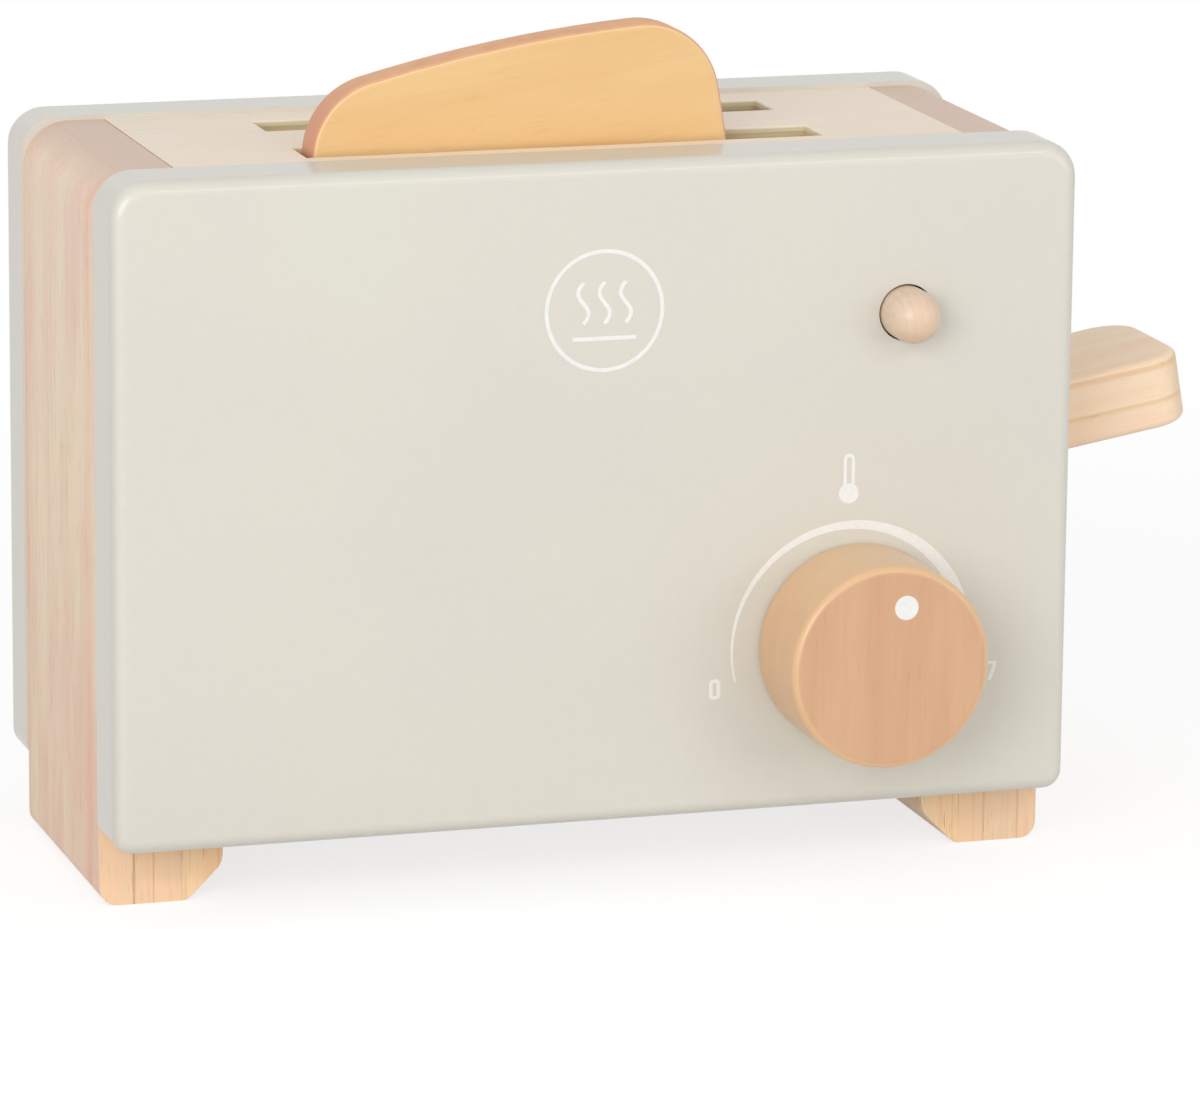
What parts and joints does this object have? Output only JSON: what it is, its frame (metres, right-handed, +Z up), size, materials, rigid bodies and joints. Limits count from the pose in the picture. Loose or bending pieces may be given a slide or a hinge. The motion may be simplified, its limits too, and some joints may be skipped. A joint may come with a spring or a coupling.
{
  "type": "toy toaster",
  "caption": "Wooden play toaster with painted front and back panels, a side lever that lifts the bread, a turning dial, a push button and a toast slice.",
  "frame": {"origin": "on the floor under the middle of the toaster's two panels, half-way between them", "axes": "+X to the right, towards the lever; +Y to the back, away from the dial; +Z up"},
  "size_m": [0.2384, 0.1163, 0.172],
  "materials": {
    "cream_painted_board": "warm white matt paint, lightly sprayed, on a fine board",
    "pale_hardwood": "bare sanded hardwood with a thin matt lacquer",
    "pale_plywood": "bare sanded birch plywood",
    "striped_hardwood": "sanded hardwood with amber stripes and a matt lacquer",
    "turned_hardwood": "turned hardwood, smooth, satin lacquer",
    "toast_wood": "stained board with a painted darker crust",
    "dowel_hardwood": "bare turned dowel rod",
    "zinc_plated_steel": "bright zinc plating",
    "spring_steel": "drawn spring wire"
  },
  "bodies": {
    "root": {"front_panel": "cream_painted_board", "back_panel": "cream_painted_board", "left_side_board": "pale_hardwood", "right_side_board": "pale_hardwood", "left_foot_block": "pale_hardwood", "right_foot_block": "pale_hardwood", "top_deck": "pale_plywood", "left_deck_cleat": "pale_hardwood", "right_deck_cleat": "pale_hardwood", "base_board": "pale_plywood", "spring_peg": "dowel_hardwood", "front_panel_dowels": "dowel_hardwood", "back_panel_screws": "zinc_plated_steel", "lever_pivot_dowel": "dowel_hardwood", "pivot_spacers": "dowel_hardwood", "return_spring": "spring_steel", "button_housing": "pale_hardwood", "housing_screws": "zinc_plated_steel", "button_spring": "spring_steel"},
    "lever": {"lever_board": "striped_hardwood"},
    "toast": {"toast_slice": "toast_wood"},
    "dial": {"dial_knob": "turned_hardwood", "dial_axle": "dowel_hardwood", "dial_washer": "zinc_plated_steel", "dial_screw": "zinc_plated_steel"},
    "button": {"push_button": "turned_hardwood"}
  },
  "joints": [
    {"name": "lever_press", "type": "hinge", "parent": "root", "child": "lever", "pos_m": [-0.073, 0, 0.0545], "axis": [0, 1, 0], "range_deg": [0, 17], "stiffness_Nm_per_rad": 0.5, "springref_deg": -25.78, "deforming": ["return_spring"]},
    {"name": "toast_lift", "type": "slide", "parent": "lever", "child": "toast", "axis": [0, 0, 1], "range_m": [0, 0.12]},
    {"name": "dial_turn", "type": "hinge", "parent": "root", "child": "dial", "pos_m": [0.054, -0.047, 0.048], "axis": [0, 1, 0], "continuous": true},
    {"name": "button_press", "type": "slide", "parent": "root", "child": "button", "axis": [0, 1, 0], "range_m": [0, 0.0045], "stiffness_N_per_m": 300, "springref_m": -0.002, "deforming": ["button_spring"]}
  ]
}
